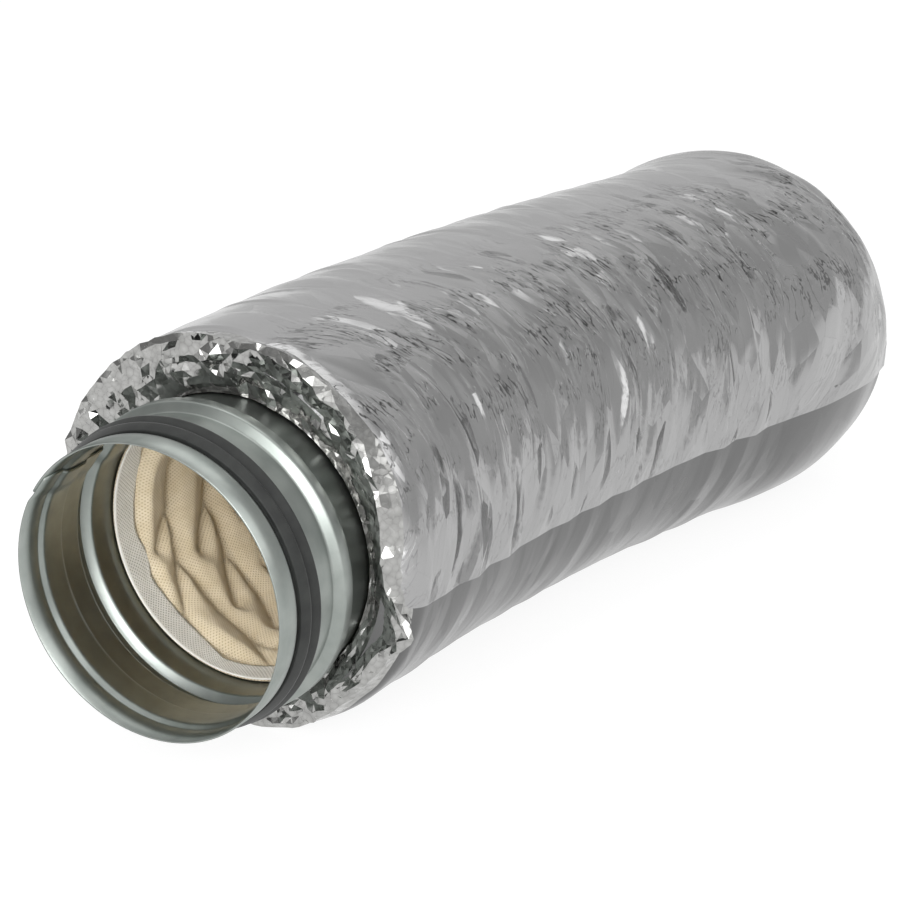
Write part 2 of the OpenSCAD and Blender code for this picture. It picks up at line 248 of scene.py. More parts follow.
# Lip seals: a moulded rubber band snapped into each spigot's groove, with two lips that
# lean away from the mouth and bend against the inside of the duct.
SEAL_FOOT_R = GROOVE_R + 0.1 * MM
SEAL_BAND_R = SPIGOT_R + 0.3 * MM
FIRST_LIP_R = SPIGOT_R + 2.4 * MM
SECOND_LIP_R = SPIGOT_R + 3.4 * MM
SEAL_LINE = [
    (SEAL_FOOT_R, 14.0 * MM), (SEAL_BAND_R, 14.0 * MM), (FIRST_LIP_R, 17.3 * MM),
    (FIRST_LIP_R, 18.0 * MM), (SEAL_BAND_R, 17.0 * MM), (SEAL_BAND_R, 18.8 * MM),
    (SECOND_LIP_R, 22.5 * MM), (SECOND_LIP_R, 23.2 * MM), (SEAL_BAND_R, 21.8 * MM),
    (SEAL_BAND_R, 24.0 * MM), (SEAL_FOOT_R, 24.0 * MM), (SEAL_FOOT_R, 14.0 * MM),
]
SEAL_CORNER = 0.18 * MM
SEAL_STEPS = 160
# Points closer together than this are one point.
WELD = 0.001 * MM

# EPDM rubber: matt charcoal with a soft sheen. Its dust lies in patches of about 8 mm, and its
# mould left a grain of about 0.7 mm.
RUBBER_DUST = 120.0
RUBBER_GRAIN = 1500.0
rubber, tree, shader = start_material("epdm_rubber", {
    "IOR": 1.5, "Specular IOR Level": 0.4, "Sheen Weight": 0.15, "Sheen Roughness": 0.5})
coords = add(tree, "ShaderNodeTexCoord", {})
dust = add(tree, "ShaderNodeTexNoise", {
    "Vector": coords.outputs["Object"], "Scale": RUBBER_DUST, "Detail": 5.0})
tone = add(tree, "ShaderNodeValToRGB", {"Fac": dust.outputs["Fac"]})
set_ramp(tone.color_ramp, [(0.35, "#141615"), (0.75, "#282a28")])
gloss = add(tree, "ShaderNodeMapRange", {
    "Value": dust.outputs["Fac"], "To Min": 0.42, "To Max": 0.62})
grit = add(tree, "ShaderNodeTexNoise", {
    "Vector": coords.outputs["Object"], "Scale": RUBBER_GRAIN, "Detail": 2.0})
grain = add(tree, "ShaderNodeBump", {
    "Height": grit.outputs["Fac"], "Strength": 0.15, "Distance": 0.2 * MM})
tree.links.new(tone.outputs[0], shader.inputs["Base Color"])
tree.links.new(gloss.outputs[0], shader.inputs["Roughness"])
tree.links.new(grain.outputs[0], shader.inputs["Normal"])

for end, side in ENDS:
    bm = bmesh.new()
    geom = lathe_line(bm, SEAL_LINE, SEAL_CORNER)
    bmesh.ops.spin(
        bm, geom=geom, cent=(0, 0, 0), axis=(0, 0, 1), angle=2 * pi, steps=SEAL_STEPS, use_merge=True)
    bmesh.ops.remove_doubles(bm, verts=bm.verts, dist=WELD)
    bmesh.ops.recalc_face_normals(bm, faces=bm.faces)
    seat_at_mouth(bm, end)
    make_piece(side + "_lip_seal", bm, rubber, side + "_seal")


# Inner liner: one tube of cream nonwoven that carries the air, sewn along and held open by
# the wire. Its cloth is slack, so it hangs inwards in rounded folds between the turns.
LINER_MID_R = 60.65 * MM
LINER_END = 0.8 * MM
LINER_ROUND = 216
LINER_ROWS = 220
# How strongly the rows crowd to the two mouths.
LINER_CROWD = 0.6
CLOTH_T = 0.5 * MM
LINER_FLAT = (460 * MM, 385 * MM)
CUFF_W = 11 * MM


def wrapped_grid(along, round_it, place, spread=lambda u, v: (u, v)):
    """A sheet wrapped into a tube: place turns shares along and round it into a point."""
    bm = bmesh.new()
    layer = bm.loops.layers.uv.verify()
    bmesh.ops.create_grid(bm, x_segments=along, y_segments=round_it, size=0.5, calc_uvs=True)
    edges = [v for v in bm.verts if abs(abs(v.co.y) - 0.5) < 1e-5]
    for face in bm.faces:
        for loop in face.loops:
            loop[layer].uv = spread(loop.vert.co.x + 0.5, loop.vert.co.y + 0.5)
    for v in bm.verts:
        v.co = place(*spread(v.co.x + 0.5, v.co.y + 0.5))
    bmesh.ops.remove_doubles(bm, verts=edges, dist=WELD)
    return bm


def duct_middle(p):
    """A point of the duct's centre line near p, for facing a tube outwards."""
    return on_duct(p.x - MIDDLE[0], 0, 0)


# Creases near the mouth, as points in mm from the jacket's end and degrees round from outside the
# bend. The cloth swells inwards between them, and comes up to that over a few mm past the cuff.
CREASES = [
    [(36, 60), (34, 15), (32, -8), (32, -19), (29, -29), (24, -37), (18, -48), (10, -59)],
    [(29, -29), (32, -39), (32, -51), (31, -64), (30, -75), (22, -87), (11, -101)],
    [(62, 40), (58, -3), (54, -15), (48, -23), (43, -31)],
    [(56, -12), (59, -23), (57, -35), (58, -49), (56, -61), (51, -70), (43, -80)],
    [(57, -35), (50, -45), (45, -54), (41, -60)],
    [(30, -75), (27, -87), (28, -100)],
    [(31, -9), (25, -15), (20, -22)],
]
CREASES_TO = 75
CREASE_W = 5.5
CREASE_FAR = 60.0
SWELL = 9.0 * MM
WRINKLE = 0.3 * MM
SWELL_RAMP = 7 * MM
# Elsewhere the creases follow loose rings, which forks cross: spacing and sway, in mm and in spacings.
RING_PITCH = 25.0
RING_FROM = 32
RING_SWAY = 0.35
FORK_PITCH = 41
FORK_W = 38
FORKS_ROUND = 5
FORK_SWAY = 0.9
FORK_FADE = 8
# The rings and forks keep out of the part of the mouth that has the creases above.
MOUTH_DEPTH = 70
MOUTH_FROM = radians(-112)
MOUTH_TO = radians(66)
KEEP_OUT = 40


def crease_gap(e, y):
    """Distance in mm from the nearest of the creases, at e along and y round the liner."""
    gap = CREASE_FAR
    at = Vector((e, y))
    for line in CREASES:
        points = [Vector((a, radians(b) * LINER_MID_R / MM)) for a, b in line]
        for p, q in zip(points, points[1:]):
            share = max(0.0, min(1.0, (at - p).dot(q - p) / (q - p).length_squared))
            gap = min(gap, (at - p - share * (q - p)).length)
    return gap


def liner_point(u, v):
    """A point of the liner: its radius falls by the swell between the creases."""
    s = inside(LINER_END + u * (BODY_LEN - 2 * LINER_END), -1)
    t = 2 * pi * v - pi
    e = (s + FRONT_LEN) / MM
    room = min(s + FRONT_LEN, REAR_LEN - s) - CUFF_W
    ring = Vector((cos(t), sin(t), e / 40))
    sway = noise.noise(ring * 1.4)
    drift = noise.noise(ring * 0.9 + Vector((7, 3, 1)))
    rings = (e - RING_FROM) / RING_PITCH + RING_SWAY * sway
    forks = e / FORK_PITCH + FORKS_ROUND * v + FORK_SWAY * drift
    seen = ease((MOUTH_DEPTH - e) / 12) * ease((MOUTH_TO - t) / 0.4) * ease((t - MOUTH_FROM) / 0.3)
    to_ring = RING_PITCH * abs(rings - round(rings))
    to_fork = FORK_W * abs(forks - round(forks)) + FORK_FADE * max(0.0, sway)
    gap = min(to_ring, to_fork) + KEEP_OUT * seen
    if e < CREASES_TO:
        gap = min(gap, crease_gap(e, t * LINER_MID_R / MM))
    swell = SWELL * (0.85 + 0.3 * drift) * (1 - exp(-gap / CREASE_W))
    wrinkle = WRINKLE * noise.noise(Vector((5 * cos(t), 5 * sin(t), e / 4)))
    return on_duct(s, LINER_MID_R - (swell + wrinkle) * ease(room / SWELL_RAMP), t)


def crowd_mouths(u, v):
    """Moves the liner's rows towards its two mouths."""
    return u - LINER_CROWD * sin(2 * pi * u) / (2 * pi), v


bm = wrapped_grid(LINER_ROWS, LINER_ROUND, liner_point, crowd_mouths)
face_outwards(bm, duct_middle)

# Point-bonded nonwoven: matt polypropylene cloth, pressed together at small dots in diagonal
# rows. The dots are 1.2 mm apart and let the dark behind them show. Its fibres clump at about 6 mm.
DOT_PITCH = 1.2 * MM
FIBRE_CLUMP = 160.0


def nonwoven(name, pale, deep, dot, span, selvedge):
    """A nonwoven's material; span is the size that its UV map covers, and the selvedge has no dots."""
    material, tree, shader = start_material(name, {
        "Roughness": 0.9, "IOR": 1.46, "Specular IOR Level": 0.25,
        "Sheen Weight": 0.2, "Sheen Roughness": 0.6})
    coords = add(tree, "ShaderNodeUVMap", {})
    size = add(tree, "ShaderNodeVectorMath", {
        0: coords.outputs[0], 1: (span[0] / DOT_PITCH, span[1] / DOT_PITCH, 1)}, operation="MULTIPLY")
    rows = add(tree, "ShaderNodeMapping", {"Vector": size.outputs[0], "Rotation": (0, 0, radians(45))})
    dots = add(tree, "ShaderNodeTexVoronoi", {
        "Vector": rows.outputs[0], "Scale": 1.0, "Randomness": 0.0}, voronoi_dimensions="2D")
    spot = add(tree, "ShaderNodeMapRange", {
        "Value": dots.outputs["Distance"], "From Min": 0.16, "From Max": 0.32},
        interpolation_type="SMOOTHSTEP")
    place = add(tree, "ShaderNodeSeparateXYZ", {"Vector": coords.outputs[0]})
    plain = add(tree, "ShaderNodeMath", {
        0: place.outputs["X"], 1: selvedge / span[0]}, operation="LESS_THAN")
    mark = add(tree, "ShaderNodeMath", {0: spot.outputs[0], 1: plain.outputs[0]}, operation="MAXIMUM")
    fibres = add(tree, "ShaderNodeTexNoise", {
        "Vector": add(tree, "ShaderNodeTexCoord", {}).outputs["Object"],
        "Scale": FIBRE_CLUMP, "Detail": 6.0})
    cloth = add(tree, "ShaderNodeValToRGB", {"Fac": fibres.outputs["Fac"]})
    set_ramp(cloth.color_ramp, [(0.3, deep), (0.7, pale)])
    colour = add(tree, "ShaderNodeMix", {
        "Factor": mark.outputs[0], "A": linear(dot), "B": cloth.outputs[0]}, data_type="RGBA")
    height = add(tree, "ShaderNodeMath", {0: mark.outputs[0], 1: fibres.outputs["Fac"]}, operation="ADD")
    emboss = add(tree, "ShaderNodeBump", {
        "Height": height.outputs[0], "Strength": 0.5, "Distance": 0.4 * MM})
    tree.links.new(colour.outputs["Result"], shader.inputs["Base Color"])
    tree.links.new(emboss.outputs[0], shader.inputs["Normal"])
    return material


cream = nonwoven("cream_point_bonded_nonwoven", "#eadcc2", "#dcccad", "#c4b08b", LINER_FLAT, 0.0)
liner = make_piece("pleated_liner", bm, cream, "inner_liner")
give_thickness(liner, "cloth", CLOTH_T)


# Liner cuffs: a strip of white nonwoven glued over each end of the liner, inside the spigot's
# tail. Its free edge is cut by hand, so it waves, and stands off a little from the liner.
CUFF_R = LINER_MID_R - 0.95 * MM
CUFF_FLAT = (12.5 * MM, 376 * MM)
CUFF_ROWS = 10
CUFF_ROUND = 200
CUFF_SELVEDGE = 1.5 * MM
CUFF_PUCKER = 0.5 * MM
CUFF_STANDS_OFF = 0.5 * MM
# The free edge of both cuffs: degrees round, and mm more or less than CUFF_W there.
CUFF_EDGE = [
    (-180, 2), (-130, 2), (-100, 2), (-86, -2), (-77, -3), (-67, 1), (-59, 2), (-44, 2), (-31, 0),
    (-23, 4), (-10, 0), (-2, 1), (16, 3), (29, -1), (60, 2), (100, 0), (140, 3), (180, 2),
]


def along_table(table, x):
    """The value at x of a table of points that straight lines join."""
    for (a, low), (b, high) in zip(table, table[1:]):
        if x <= b:
            return low + (high - low) * (x - a) / (b - a)


def cuff_point(u, v, end):
    """A point of a cuff, from the liner's end to its free edge."""
    t = 2 * pi * v - pi
    edge = CUFF_W + along_table(CUFF_EDGE, degrees(t)) * MM
    pucker = CUFF_PUCKER * noise.noise(Vector((9 * cos(t), 9 * sin(t), 2 * u + end))) * u
    lift = CUFF_STANDS_OFF * u * u
    return on_duct(inside(u * edge, end), CUFF_R - lift - abs(pucker), t)


white = nonwoven(
    "white_point_bonded_nonwoven", "#f6f4ee", "#ebe8e0", "#b2aea2", CUFF_FLAT, CUFF_SELVEDGE)
for end, side in ENDS:
    bm = wrapped_grid(CUFF_ROWS, CUFF_ROUND, lambda u, v: cuff_point(u, v, end))
    face_outwards(bm, duct_middle)
    cuff = make_piece(side + "_cuff", bm, white, side + "_liner_cuff")
    give_thickness(cuff, "cloth", CLOTH_T)


# Liner wire: one length of spring wire wound into a helix round the liner. It is glued to the
# cloth and holds it open.
WIRE_R = 61.57 * MM
WIRE_D = 1.6 * MM
WIRE_PITCH = 36 * MM
WIRE_FROM = inside(26.6 * MM, -1)
WIRE_TO = 142 * MM
WIRE_POINTS_A_TURN = 48
wire_turns = (WIRE_TO - WIRE_FROM) / WIRE_PITCH
wire_steps = int(wire_turns * WIRE_POINTS_A_TURN)
helix = bpy.data.curves.new("wire_helix", "CURVE")
helix.dimensions = "3D"
helix.bevel_depth = WIRE_D / 2
helix.bevel_resolution = 1
helix.use_fill_caps = True
spline = helix.splines.new("POLY")
spline.points.add(wire_steps)
for i, point in enumerate(spline.points):
    share = i / wire_steps
    s = WIRE_FROM + (WIRE_TO - WIRE_FROM) * share
    point.co = on_duct(s, WIRE_R, 2 * pi * wire_turns * share).to_4d()

# Drawn spring wire: dark bright-drawn steel, whose tone varies over about 1.4 mm.
WIRE_MOTTLE = 700.0
spring_steel, tree, shader = start_material("drawn_spring_wire", {"Metallic": 1.0, "Roughness": 0.35})
scratch = add(tree, "ShaderNodeTexNoise", {
    "Vector": add(tree, "ShaderNodeTexCoord", {}).outputs["Object"], "Scale": WIRE_MOTTLE})
tone = add(tree, "ShaderNodeValToRGB", {"Fac": scratch.outputs["Fac"]})
set_ramp(tone.color_ramp, [(0.35, "#5c5c5a"), (0.65, "#7c7c79")])
tree.links.new(tone.outputs[0], shader.inputs["Base Color"])
helix.materials.append(spring_steel)
join_scene(bpy.data.objects.new("wound_wire", helix), "liner_wire")


# Wool blanket: resin-bonded mineral wool rolled round the liner and the spigot tails. It fills
# the room under the jacket and is what damps the sound.
WOOL_BORE_R = 63.2 * MM
WOOL_ROUND = 120
WOOL_ROWS_OUT = 64
WOOL_ROWS_IN = 24
# How far its ends lie inside the jacket's, at the outside and at the bore.
WOOL_END_OUT = 3 * MM
WOOL_END_IN = 13 * MM
UNDER_FILM = 2.6 * MM
WOOL_LUMP = 0.7 * MM
WOOL_FLOOR = 1.5 * MM
# The jacket's plain outside, which the wool fills: drawn in on one side by the bend, and turned in
# over a shoulder at each end.
SKIN_R = 88.058 * MM
DRAWN_IN = 5 * MM
DRAWN_AT = radians(240)
DRAWN_FADE = 80 * MM
SHOULDER = {-1: 14 * MM, 1: 15 * MM}
TURN_IN = {-1: 9 * MM, 1: 10 * MM}
SKEW = {-1: 0.55, 1: 0.0}


def plain_r(e, t):
    """Radius of the jacket's plain outside at a distance e from its front end."""
    end = -1 if e < BODY_LEN / 2 else 1
    far = e if end < 0 else BODY_LEN - e
    lean = 1 - max(0.0, min(1.0, far / SHOULDER[end]))
    turn_in = TURN_IN[end] * (1 - SKEW[end] * cos(t)) * (1 - sqrt(1 - lean * lean))
    drawn = DRAWN_IN * ease((BODY_LEN - e) / DRAWN_FADE)
    return SKIN_R - drawn * (0.5 + 0.5 * cos(t - DRAWN_AT)) - turn_in


# The blanket's section: distance from the front end, and whether the point is on the outside.
WOOL_LINE = [
    (WOOL_END_OUT + (BODY_LEN - 2 * WOOL_END_OUT) * i / WOOL_ROWS_OUT, True)
    for i in range(WOOL_ROWS_OUT + 1)]
WOOL_LINE += [
    (BODY_LEN - WOOL_END_IN - (BODY_LEN - 2 * WOOL_END_IN) * i / WOOL_ROWS_IN, False)
    for i in range(WOOL_ROWS_IN + 1)]
WOOL_LINE += [WOOL_LINE[0]]


def wool_point(u, v):
    """A point of the blanket, along its section and round the duct."""
    e, outside = WOOL_LINE[round(u * (len(WOOL_LINE) - 1))]
    t = 2 * pi * v
    if not outside:
        return on_duct(inside(e, -1), WOOL_BORE_R, t)
    lump = noise.noise(Vector((40 * e, 4 * cos(t), 4 * sin(t))))
    p = on_duct(inside(e, -1), plain_r(e, t) - UNDER_FILM - WOOL_LUMP * (1 + lump), t)
    p.z = max(p.z, WOOL_FLOOR)
    return p


bm = wrapped_grid(len(WOOL_LINE) - 1, WOOL_ROUND, wool_point)
bmesh.ops.remove_doubles(bm, verts=bm.verts, dist=WELD)
bmesh.ops.recalc_face_normals(bm, faces=bm.faces)

# Mineral wool: a matt tangle of fine yellow-brown fibres, in tufts of about 4 mm.
WOOL_TUFT = 260.0
wool_fibre, tree, shader = start_material("resin_bonded_mineral_wool", {
    "Roughness": 0.95, "Sheen Weight": 0.3})
fibres = add(tree, "ShaderNodeTexNoise", {
    "Vector": add(tree, "ShaderNodeTexCoord", {}).outputs["Object"],
    "Scale": WOOL_TUFT, "Detail": 8.0, "Roughness": 0.7, "Distortion": 1.5})
tone = add(tree, "ShaderNodeValToRGB", {"Fac": fibres.outputs["Fac"]})
set_ramp(tone.color_ramp, [(0.3, "#8f7f45"), (0.7, "#cbb876")])
fluff = add(tree, "ShaderNodeBump", {
    "Height": fibres.outputs["Fac"], "Strength": 0.8, "Distance": 2 * MM})
tree.links.new(tone.outputs[0], shader.inputs["Base Color"])
tree.links.new(fluff.outputs[0], shader.inputs["Normal"])
wool = make_piece("rolled_wool", bm, wool_fibre, "wool_blanket")


# Foil jacket: a sleeve of aluminium laminate, lapped and glued along one seam. The bend
# pushes its inner side up into cross folds, which die out towards the top and the far side.
JACKET_FLAT = (562 * MM, 430 * MM)
JACKET_ROWS = 430
JACKET_ROUND = 226
# How strongly the columns crowd to the side away from the seam.
JACKET_CROWD = 0.45
FOLD_ROWS = 28
FOLD_H = 4.2 * MM
FOLD_LEAN = 7 * MM
FOLD_STRAY = radians(40)
# Share of the cross folds that is left, under the seam and above it.
FOLDS_UNDER = 0.2
FOLDS_ABOVE = 0.6
SEAM_AT = radians(189)
SEAM_H = 1.5 * MM
SEAM_SPAN = radians(24)
SEAM_LAP = radians(5)
# The creases die out this far from the ends and on both sides of the seam, and are weak under it.
CALM_END = 9 * MM
CALM_ABOVE = radians(5)
CALM_UNDER = radians(8)
WEAK_UNDER = 0.12
WEAK_SPAN = radians(110)
# The creases bow: from this angle they run to the front end, by so many mm a radian squared.
BOW_AT = 2 * pi + radians(150)
BOW_RANGE = (-0.9, 0.7)
BOW_FORWARD = 39
# Long creases: direction from the duct's axis in degrees, spacing and height in mm, and a seed.
LONG_CREASES = [(6, 15, 0.5, 1.0), (-12, 11, 0.3, 5.0), (-30, 17, 0.4, 13.0)]
# Leaves of foil between the creases: length along and round in mm, tilt, and a seed.
LEAF = (15, 56, 0.16, 61.0)
# The tilts of the leaves and facets are drawn from this seed, so that each run gives the same ones.
noise.seed_set(1)


def zigzag(x):
    """A triangle wave between -1 and 1, which folds a sheet along straight creases."""
    return 2 * abs(x % 2 - 1) - 1


def jig(k):
    """A value between -1 and 1 that looks irregular along k, as in the part's source."""
    return sin(radians(137.5 * k) + radians(40) * sin(radians(71 * k)))


def cross_fold(place, t):
    """Height of the cross folds; place counts rows along the jacket and odd rows stand up."""
    height = 0.0
    for row in (int(place), int(place) + 1):
        if row % 2 == 1:
            reach = 0.5 - 0.5 * cos(t - FOLD_STRAY * jig(row))
            tall = 0.55 + 0.45 * jig(row + 0.4)
            height += FOLD_H * tall * reach * reach * (1 - abs(place - row))
    return height


def crease_height(s, y):
    """Height in mm of the long creases at s along and y round the jacket, in mm."""
    height = 0.0
    for angle, spacing, tall, seed in LONG_CREASES:
        a = radians(angle)
        wander = 0.8 * spacing * noise.noise(Vector((s / 34, y / 60, seed)))
        across = (s * cos(a) + y * sin(a) + wander) / spacing
        patch = noise.noise(Vector((s / 22, y / 46, seed + 2)))
        height += tall * zigzag(across) * ease(0.5 + 1.7 * patch)
    return height


def leaf_height(s, y, leaf):
    """Height in mm of flat leaves of foil, each tilted its own way, at s along and y round."""
    long, wide, tilt, seed = leaf
    place = Vector((s / long, y / wide, seed))
    far, points = noise.voronoi(place)
    lean = noise.noise_vector(points[0] * 9.7)
    off = place - points[0]
    sharp = min(1.0, 6 * (far[1] - far[0]))
    return long * tilt * sharp * (1.6 * off.x * lean.x + 0.8 * off.y * lean.y)


def jacket_point(u, v):
    """A point of the jacket, from the seam's under lap once round to its upper edge."""
    t = SEAM_AT - SEAM_LAP + (2 * pi + SEAM_LAP) * v
    e = u * BODY_LEN
    above = SEAM_AT + 2 * pi - t
    under = t - SEAM_AT
    fold_from = SHOULDER[-1]
    fold_to = BODY_LEN - SHOULDER[1]
    inner = ease(min(e - fold_from, fold_to - e) / (2 * FOLD_LEAN + MM))
    place = max(0.0, min(1.0, (e - fold_from) / (fold_to - fold_from))) * FOLD_ROWS
    folds = cross_fold(place, t) * (FOLDS_UNDER if under < pi / 2 else FOLDS_ABOVE)
    seam = SEAM_H * max(0.0, 1 - above / SEAM_SPAN)
    pressed = 0.5 - 0.5 * cos(t)
    amount = ease(min(e, BODY_LEN - e) / CALM_END) * ease(above / CALM_ABOVE) * ease(under / CALM_UNDER)
    amount *= WEAK_UNDER + (1 - WEAK_UNDER) * ease(under / WEAK_SPAN - 0.5)
    bow = max(BOW_RANGE[0], min(BOW_RANGE[1], t - BOW_AT))
    along = e / MM + BOW_FORWARD * bow * bow
    around = SKIN_R * t / MM
    height = amount * (0.15 + 0.85 * pressed) * (0.5 + 0.5 * u) * crease_height(along, around)
    height += amount * (0.3 + 0.7 * pressed) * leaf_height(along, around, LEAF)
    r = plain_r(e, t) + inner * folds + seam + height * MM
    p = on_duct(inside(e, -1) + inner * FOLD_LEAN * sin(t), r, t)
    p.z = max(p.z, 0.0)
    return p


def leave_seam(u, v):
    """Moves the jacket's columns away from its seam."""
    return u, v + JACKET_CROWD * sin(2 * pi * v) / (2 * pi)


bm = wrapped_grid(JACKET_ROWS, JACKET_ROUND, jacket_point, leave_seam)
face_outwards(bm, duct_middle)

# Aluminium laminate: satin foil under a clear film, creased into flat leaves that each catch the
# light their own way. Its colour holds painted shade: darker under the seam, and thin lines of painted
# crease shade.
# Leaves too fine for the mesh are bump: length along and round, and depth, in mm.
BUMP_LEAVES = [(13, 46, 3.8), (6, 18, 1.9)]
BUMP_CRUMPLE = (2.8, 6, 1.1)
# The same bow as in the mesh, by the share round the sheet, in mm a share squared.
BOW_SHARE = 0.893
BOW_LEAST = -0.14
BOW_SHARE_FORWARD = 1580
# Patterns are in mm: the leaves wander over 50 mm by up to 14 mm, and crumple in patches of 22 mm.
LEAF_WANDER = 0.02
LEAF_STRAY = (14, 14, 0)
CRUMPLE_PATCH = 0.045
# Hairlines of painted crease shade run round the duct, about 3 mm apart and 17 mm long.
SHADE_HAIRLINES = (0.3, 0.06, 0)
laminate, tree, shader = start_material("aluminium_laminate", {"Metallic": 1.0})
coords = add(tree, "ShaderNodeUVMap", {})
place = add(tree, "ShaderNodeSeparateXYZ", {"Vector": coords.outputs[0]})
# Painted shade round the duct: darkest under the seam and at the bottom, lighter over the top and far
# side, and a little darker again just above the seam.
painted_shade_round = add(tree, "ShaderNodeValToRGB", {"Fac": place.outputs["Y"]})
set_ramp(painted_shade_round.color_ramp, [
    (0.0, "#727272"), (0.1, "#626262"), (0.2, "#626262"), (0.36, "#acacac"), (0.74, "#b1b1b1"),
    (0.95, "#a8a8a8")])
size = add(tree, "ShaderNodeVectorMath", {
    0: coords.outputs[0], 1: (BODY_LEN / MM, JACKET_FLAT[0] / MM, 0)}, operation="MULTIPLY")
off_bow = add(tree, "ShaderNodeMath", {0: place.outputs["Y"], 1: BOW_SHARE}, operation="SUBTRACT")
near_bow = add(tree, "ShaderNodeMath", {0: off_bow.outputs[0], 1: BOW_LEAST}, operation="MAXIMUM")
squared = add(tree, "ShaderNodeMath", {0: near_bow.outputs[0], 1: 2.0}, operation="POWER")
bow_by = add(tree, "ShaderNodeCombineXYZ", {"X": squared.outputs[0]})
bowed = add(tree, "ShaderNodeVectorMath", {
    0: bow_by.outputs[0], 1: (BOW_SHARE_FORWARD, 0, 0), 2: size.outputs[0]}, operation="MULTIPLY_ADD")
wander = add(tree, "ShaderNodeTexNoise", {
    "Vector": bowed.outputs[0], "Scale": LEAF_WANDER, "Detail": 1.0})
loose = add(tree, "ShaderNodeVectorMath", {
    0: wander.outputs["Color"], 1: LEAF_STRAY, 2: bowed.outputs[0]}, operation="MULTIPLY_ADD")
pressed = add(tree, "ShaderNodeValToRGB", {"Fac": place.outputs["Y"]})
set_ramp(pressed.color_ramp, [
    (0.0, 0.2), (0.3, 0.3), (0.5, 0.3), (0.68, 0.15), (0.78, 0.8), (0.88, 1.0)])
band = add(tree, "ShaderNodeValToRGB", {"Fac": place.outputs["Y"]})
set_ramp(band.color_ramp, [(0.73, 0.0), (0.79, 1.0), (0.86, 1.0), (0.93, 0.35), (1.0, 0.2)])
patch = add(tree, "ShaderNodeTexNoise", {
    "Vector": bowed.outputs[0], "Scale": CRUMPLE_PATCH, "Detail": 2.0})
rough = add(tree, "ShaderNodeMapRange", {
    "Value": patch.outputs["Fac"], "From Min": 0.44, "From Max": 0.56}, interpolation_type="SMOOTHSTEP")
crumpled = add(tree, "ShaderNodeMath", {0: band.outputs[0], 1: rough.outputs[0]}, operation="MULTIPLY")


def tilted_leaves(tree, cell, **settings):
    """Leaves of foil over the cells of a pattern: the pattern, and the height of each tilted leaf."""
    leaf = add(tree, "ShaderNodeTexVoronoi", {"Vector": cell, "Scale": 1.0}, **settings)
    off = add(tree, "ShaderNodeVectorMath", {0: cell, 1: leaf.outputs["Position"]}, operation="SUBTRACT")
    lean = add(tree, "ShaderNodeVectorMath", {
        0: leaf.outputs["Color"], 1: (0.5, 0.5, 0.5)}, operation="SUBTRACT")
    tilt = add(tree, "ShaderNodeVectorMath", {
        0: off.outputs[0], 1: lean.outputs[0]}, operation="DOT_PRODUCT")
    return leaf, tilt.outputs["Value"]


under_it = {}
for (long, wide, deep), share in (
    (BUMP_LEAVES[0], pressed), (BUMP_LEAVES[1], pressed), (BUMP_CRUMPLE, crumpled),
):
    cell = add(tree, "ShaderNodeVectorMath", {
        0: loose.outputs[0], 1: (1 / long, 1 / wide, 0)}, operation="MULTIPLY")
    leaf, height = tilted_leaves(tree, cell.outputs[0], voronoi_dimensions="2D")
    facet = add(tree, "ShaderNodeBump", {
        "Height": height, "Strength": share.outputs[0], "Distance": deep * MM, **under_it})
    under_it = {"Normal": facet.outputs[0]}
gloss = add(tree, "ShaderNodeMapRange", {
    "Value": wander.outputs["Fac"], "From Min": 0.3, "From Max": 0.7, "To Min": 0.2, "To Max": 0.28})
thin = add(tree, "ShaderNodeVectorMath", {0: loose.outputs[0], 1: SHADE_HAIRLINES}, operation="MULTIPLY")
shade_hair_noise = add(tree, "ShaderNodeTexNoise", {"Vector": thin.outputs[0], "Scale": 1.0, "Detail": 3.0})
signed = add(tree, "ShaderNodeMath", {0: shade_hair_noise.outputs["Fac"], 1: 0.5}, operation="SUBTRACT")
level = add(tree, "ShaderNodeMath", {0: signed.outputs[0]}, operation="ABSOLUTE")
# Painted crease shade: thin lines, in patches within the band, darkened to #585858 in the base colour.
dense = add(tree, "ShaderNodeMapRange", {
    "Value": patch.outputs["Fac"], "From Min": 0.46, "From Max": 0.64, "To Min": 0.0, "To Max": 0.02})
shade_hairline = add(tree, "ShaderNodeMath", {0: level.outputs[0], 1: dense.outputs[0]}, operation="LESS_THAN")
painted_crease_shade = add(tree, "ShaderNodeMath", {0: shade_hairline.outputs[0], 1: band.outputs[0]}, operation="MULTIPLY")
colour_with_painted_shade = add(tree, "ShaderNodeMix", {
    "Factor": painted_crease_shade.outputs[0], "A": painted_shade_round.outputs[0], "B": linear("#585858")}, data_type="RGBA")
tree.links.new(colour_with_painted_shade.outputs["Result"], shader.inputs["Base Color"])
tree.links.new(gloss.outputs[0], shader.inputs["Roughness"])
tree.links.new(facet.outputs[0], shader.inputs["Normal"])
jacket = make_piece("foil_sleeve", bm, laminate, "foil_jacket")


# End foils: a strip of bright foil gathered round each spigot and crushed by hand into a flat
# collar. Its rim laps over the jacket's shoulder, where it is glued down, and its ends just meet.
FOIL_ROUND = 140
FOIL_ROWS = 11
# Shares of its width: where the tuck along the spigot ends, and where the lap on the jacket starts.
FOIL_TUCK = 0.08
FOIL_FACE = 0.8
FOIL_GAP = 0.7 * MM
FOIL_FRONT = 1.4 * MM
FOIL_OVER = 0.4 * MM
END_SUNK = 4.5 * MM
TUCK_W = 1.5 * MM
LAP_W = 2.0 * MM
LAP_W_AT_RIDGE = 4.5 * MM
RIDGE_FULL = 8 * MM
# How strongly each collar is crushed, and the width at which it is crushed in full.
CRUMPLE = {-1: 1.0, 1: 0.55}
CRUMPLE_FULL_W = 18 * MM
# Facets: size both ways in mm, tilt, and a seed.
CRUSH = [(19, 11, 0.55, 31.0), (8, 13, 0.5, 35.0)]
